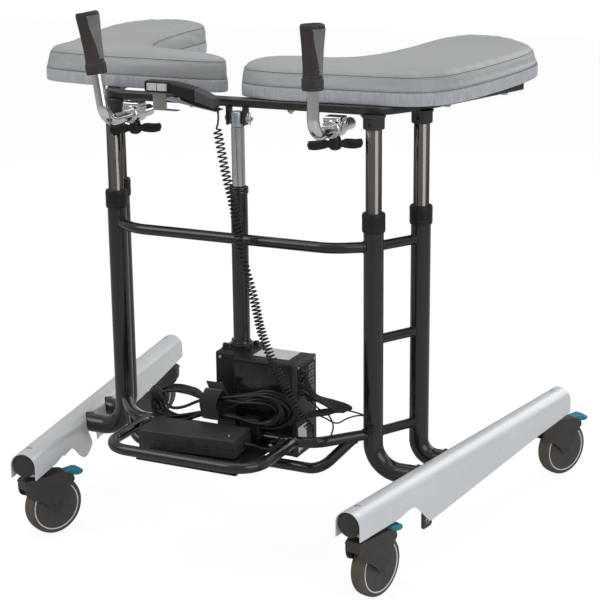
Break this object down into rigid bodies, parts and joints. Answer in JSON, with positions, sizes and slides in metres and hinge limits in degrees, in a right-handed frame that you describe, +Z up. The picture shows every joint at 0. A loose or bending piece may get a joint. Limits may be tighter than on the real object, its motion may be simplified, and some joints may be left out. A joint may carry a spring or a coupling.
{
  "type": "sit to stand lift",
  "caption": "Electric stand-up and walking frame with padded forearm rests, upright grips, telescopic lifting columns, splayed covered legs and braked castors.",
  "frame": {"origin": "on the floor, at the middle of the bounding box's bottom face", "axes": "+Z up, +X to the right when facing +Y, +Y from the front tray and grips towards the open rear where the user stands"},
  "size_m": [1.2104, 1.0096, 1.0873],
  "materials": {
    "actuator_rod": "polished chrome plating",
    "actuator_tube": "gloss black powder coat",
    "battery_pack": "black moulded plastic",
    "brake_pedal_fl": "cyan moulded plastic",
    "brake_pedal_fr": "cyan moulded plastic",
    "brake_pedal_rl": "cyan moulded plastic",
    "brake_pedal_rr": "cyan moulded plastic",
    "button_down": "grey key",
    "button_up": "grey key",
    "cable_bundle": "black cable sheath",
    "castor_axle_fl": "plain machined steel",
    "castor_axle_fr": "plain machined steel",
    "castor_axle_rl": "plain machined steel",
    "castor_axle_rr": "plain machined steel",
    "castor_fork_fl": "dark warm grey moulded plastic",
    "castor_fork_fr": "dark warm grey moulded plastic",
    "castor_fork_rl": "dark warm grey moulded plastic",
    "castor_fork_rr": "dark warm grey moulded plastic",
    "castor_wheel_fl": "dark grey-brown tread on a dark grey hub",
    "castor_wheel_fr": "dark grey-brown tread on a dark grey hub",
    "castor_wheel_rl": "dark grey-brown tread on a dark grey hub",
    "castor_wheel_rr": "dark grey-brown tread on a dark grey hub",
    "charger": "black moulded plastic",
    "clamp_knob_left": "black moulded plastic",
    "clamp_knob_right": "black moulded plastic",
    "clevis_pin": "plain machined steel",
    "coil_cable": "black cable sheath",
    "control_hook": "satin grey plated sheet",
    "cushion_left": "smooth grey upholstery vinyl over foam with a ribbed fabric band",
    "cushion_right": "smooth grey upholstery vinyl over foam with a ribbed fabric band",
    "drive_box": "black moulded plastic",
    "drive_motor": "plain machined steel",
    "guide_bush_left_front": "black moulded plastic",
    "guide_bush_left_rear": "black moulded plastic",
    "guide_bush_right_front": "black moulded plastic",
    "guide_bush_right_rear": "black moulded plastic",
    "hand_control": "black moulded plastic",
    "handle_clamp_left": "polished chrome plating",
    "handle_clamp_right": "polished chrome plating",
    "handle_grip_left": "soft dark grip with a grey insert",
    "handle_grip_right": "soft dark grip with a grey insert",
    "handle_tube_left": "polished chrome plating",
    "handle_tube_right": "polished chrome plating",
    "inner_tube_left_front": "polished chrome plating",
    "inner_tube_left_rear": "polished chrome plating",
    "inner_tube_right_front": "polished chrome plating",
    "inner_tube_right_rear": "polished chrome plating",
    "lead_screw": "plain machined steel",
    "leg_cover_left": "satin silver folded sheet",
    "leg_cover_right": "satin silver folded sheet",
    "leg_tube_left": "gloss black powder coat",
    "leg_tube_right": "gloss black powder coat",
    "lower_frame": "gloss black powder coat",
    "side_frame_left": "gloss black powder coat",
    "side_frame_right": "gloss black powder coat",
    "top_frame": "gloss black powder coat",
    "tray_plate": "gloss black powder coat",
    "upper_crossbar": "gloss black powder coat"
  },
  "bodies": {
    "base": {"leg_tube_left": "leg_tube_left", "leg_tube_right": "leg_tube_right", "leg_cover_left": "leg_cover_left", "leg_cover_right": "leg_cover_right", "side_frame_left": "side_frame_left", "side_frame_right": "side_frame_right", "upper_crossbar": "upper_crossbar", "lower_frame": "lower_frame", "tray_plate": "tray_plate", "actuator_tube": "actuator_tube", "drive_box": "drive_box", "drive_motor": "drive_motor", "battery_pack": "battery_pack", "charger": "charger", "cable_bundle": "cable_bundle", "coil_cable": "coil_cable", "guide_bush_left_front": "guide_bush_left_front", "guide_bush_left_rear": "guide_bush_left_rear", "guide_bush_right_front": "guide_bush_right_front", "guide_bush_right_rear": "guide_bush_right_rear"},
    "lift": {"top_frame": "top_frame", "actuator_rod": "actuator_rod", "clevis_pin": "clevis_pin", "handle_clamp_left": "handle_clamp_left", "handle_clamp_right": "handle_clamp_right", "control_hook": "control_hook", "inner_tube_left_front": "inner_tube_left_front", "inner_tube_left_rear": "inner_tube_left_rear", "inner_tube_right_front": "inner_tube_right_front", "inner_tube_right_rear": "inner_tube_right_rear"},
    "lead_screw": {"lead_screw": "lead_screw"},
    "pad_left": {"cushion_left": "cushion_left"},
    "pad_right": {"cushion_right": "cushion_right"},
    "handle_left": {"handle_tube_left": "handle_tube_left", "handle_grip_left": "handle_grip_left"},
    "handle_right": {"handle_tube_right": "handle_tube_right", "handle_grip_right": "handle_grip_right"},
    "knob_left": {"clamp_knob_left": "clamp_knob_left"},
    "knob_right": {"clamp_knob_right": "clamp_knob_right"},
    "handset": {"hand_control": "hand_control"},
    "button_up": {"button_up": "button_up"},
    "button_down": {"button_down": "button_down"},
    "swivel_fl": {"castor_fork_fl": "castor_fork_fl", "castor_axle_fl": "castor_axle_fl"},
    "wheel_fl": {"castor_wheel_fl": "castor_wheel_fl"},
    "pedal_fl": {"brake_pedal_fl": "brake_pedal_fl"},
    "swivel_fr": {"castor_fork_fr": "castor_fork_fr", "castor_axle_fr": "castor_axle_fr"},
    "wheel_fr": {"castor_wheel_fr": "castor_wheel_fr"},
    "pedal_fr": {"brake_pedal_fr": "brake_pedal_fr"},
    "swivel_rl": {"castor_fork_rl": "castor_fork_rl", "castor_axle_rl": "castor_axle_rl"},
    "wheel_rl": {"castor_wheel_rl": "castor_wheel_rl"},
    "pedal_rl": {"brake_pedal_rl": "brake_pedal_rl"},
    "swivel_rr": {"castor_fork_rr": "castor_fork_rr", "castor_axle_rr": "castor_axle_rr"},
    "wheel_rr": {"castor_wheel_rr": "castor_wheel_rr"},
    "pedal_rr": {"brake_pedal_rr": "brake_pedal_rr"}
  },
  "joints": [
    {"name": "lift_column", "type": "slide", "parent": "base", "child": "lift", "axis": [0, 0, 1], "range_m": [-0.11, 0.22], "deforming": ["coil_cable"]},
    {"name": "screw_turn", "type": "hinge", "parent": "base", "child": "lead_screw", "pos_m": [0.0352, -0.2119, 0.338], "axis": [0, 0, 1], "range_deg": [-3400, 6700]},
    {"name": "pad_swivel_left", "type": "hinge", "parent": "lift", "child": "pad_left", "pos_m": [-0.3308, -0.0439, 0.9125], "axis": [0, 0, 1], "range_deg": [-5, 5]},
    {"name": "pad_swivel_right", "type": "hinge", "parent": "lift", "child": "pad_right", "pos_m": [0.4012, -0.0439, 0.9125], "axis": [0, 0, 1], "range_deg": [-5, 5]},
    {"name": "handle_turn_left", "type": "hinge", "parent": "lift", "child": "handle_left", "pos_m": [-0.1968, -0.2219, 0.87], "axis": [0, 1, 0], "range_deg": [-25, 35]},
    {"name": "handle_turn_right", "type": "hinge", "parent": "lift", "child": "handle_right", "pos_m": [0.2592, -0.2359, 0.87], "axis": [0, 1, 0], "range_deg": [-35, 30]},
    {"name": "knob_turn_left", "type": "hinge", "parent": "lift", "child": "knob_left", "pos_m": [-0.1968, -0.2219, 0.84], "axis": [0, 0, 1], "range_deg": [-10, 100]},
    {"name": "knob_turn_right", "type": "hinge", "parent": "lift", "child": "knob_right", "pos_m": [0.2592, -0.2359, 0.84], "axis": [0, 0, 1], "range_deg": [-90, 90]},
    {"name": "handset_lift_off", "type": "slide", "parent": "lift", "child": "handset", "axis": [0, 0, 1], "range_m": [0, 0.03]},
    {"name": "press_up", "type": "slide", "parent": "handset", "child": "button_up", "axis": [0, 1, 0], "range_m": [0, 0.001], "stiffness_N_per_m": 500},
    {"name": "press_down", "type": "slide", "parent": "handset", "child": "button_down", "axis": [0, 1, 0], "range_m": [0, 0.001], "stiffness_N_per_m": 500},
    {"name": "swivel_turn_fl", "type": "hinge", "parent": "base", "child": "swivel_fl", "pos_m": [-0.33719, -0.44356, 0], "axis": [0, 0, 1], "continuous": true},
    {"name": "wheel_spin_fl", "type": "hinge", "parent": "swivel_fl", "child": "wheel_fl", "pos_m": [-0.31966, -0.4076, 0.0625], "axis": [-0.8988, 0.4384, 0], "continuous": true},
    {"name": "pedal_press_fl", "type": "hinge", "parent": "swivel_fl", "child": "pedal_fl", "pos_m": [-0.3065, -0.38064, 0.1285], "axis": [-0.8988, 0.4384, 0], "range_deg": [0, 10]},
    {"name": "swivel_turn_fr", "type": "hinge", "parent": "base", "child": "swivel_fr", "pos_m": [0.40759, -0.44356, 0], "axis": [0, 0, 1], "continuous": true},
    {"name": "wheel_spin_fr", "type": "hinge", "parent": "swivel_fr", "child": "wheel_fr", "pos_m": [0.41727, -0.40475, 0.0625], "axis": [-0.9703, 0.2419, 0], "continuous": true},
    {"name": "pedal_press_fr", "type": "hinge", "parent": "swivel_fr", "child": "pedal_fr", "pos_m": [0.42452, -0.37564, 0.1285], "axis": [-0.9703, 0.2419, 0], "range_deg": [0, 10]},
    {"name": "swivel_turn_rl", "type": "hinge", "parent": "base", "child": "swivel_rl", "pos_m": [-0.4669, 0.3198, 0], "axis": [0, 0, 1], "continuous": true},
    {"name": "wheel_spin_rl", "type": "hinge", "parent": "swivel_rl", "child": "wheel_rl", "pos_m": [-0.50448, 0.30612, 0.0625], "axis": [0.342, -0.9397, 0], "continuous": true},
    {"name": "pedal_press_rl", "type": "hinge", "parent": "swivel_rl", "child": "pedal_rl", "pos_m": [-0.53268, 0.29586, 0.1285], "axis": [0.342, -0.9397, 0], "range_deg": [0, 10]},
    {"name": "swivel_turn_rr", "type": "hinge", "parent": "base", "child": "swivel_rr", "pos_m": [0.5373, 0.3198, 0], "axis": [0, 0, 1], "continuous": true},
    {"name": "wheel_spin_rr", "type": "hinge", "parent": "swivel_rr", "child": "wheel_rr", "pos_m": [0.55608, 0.35512, 0.0625], "axis": [-0.8829, 0.4695, 0], "continuous": true},
    {"name": "pedal_press_rr", "type": "hinge", "parent": "swivel_rr", "child": "pedal_rr", "pos_m": [0.57016, 0.38161, 0.1285], "axis": [-0.8829, 0.4695, 0], "range_deg": [0, 10]}
  ],
  "couplings": [
    {"joint": "screw_turn", "follows": "lift_column", "rad_per_m": 523.6}
  ]
}
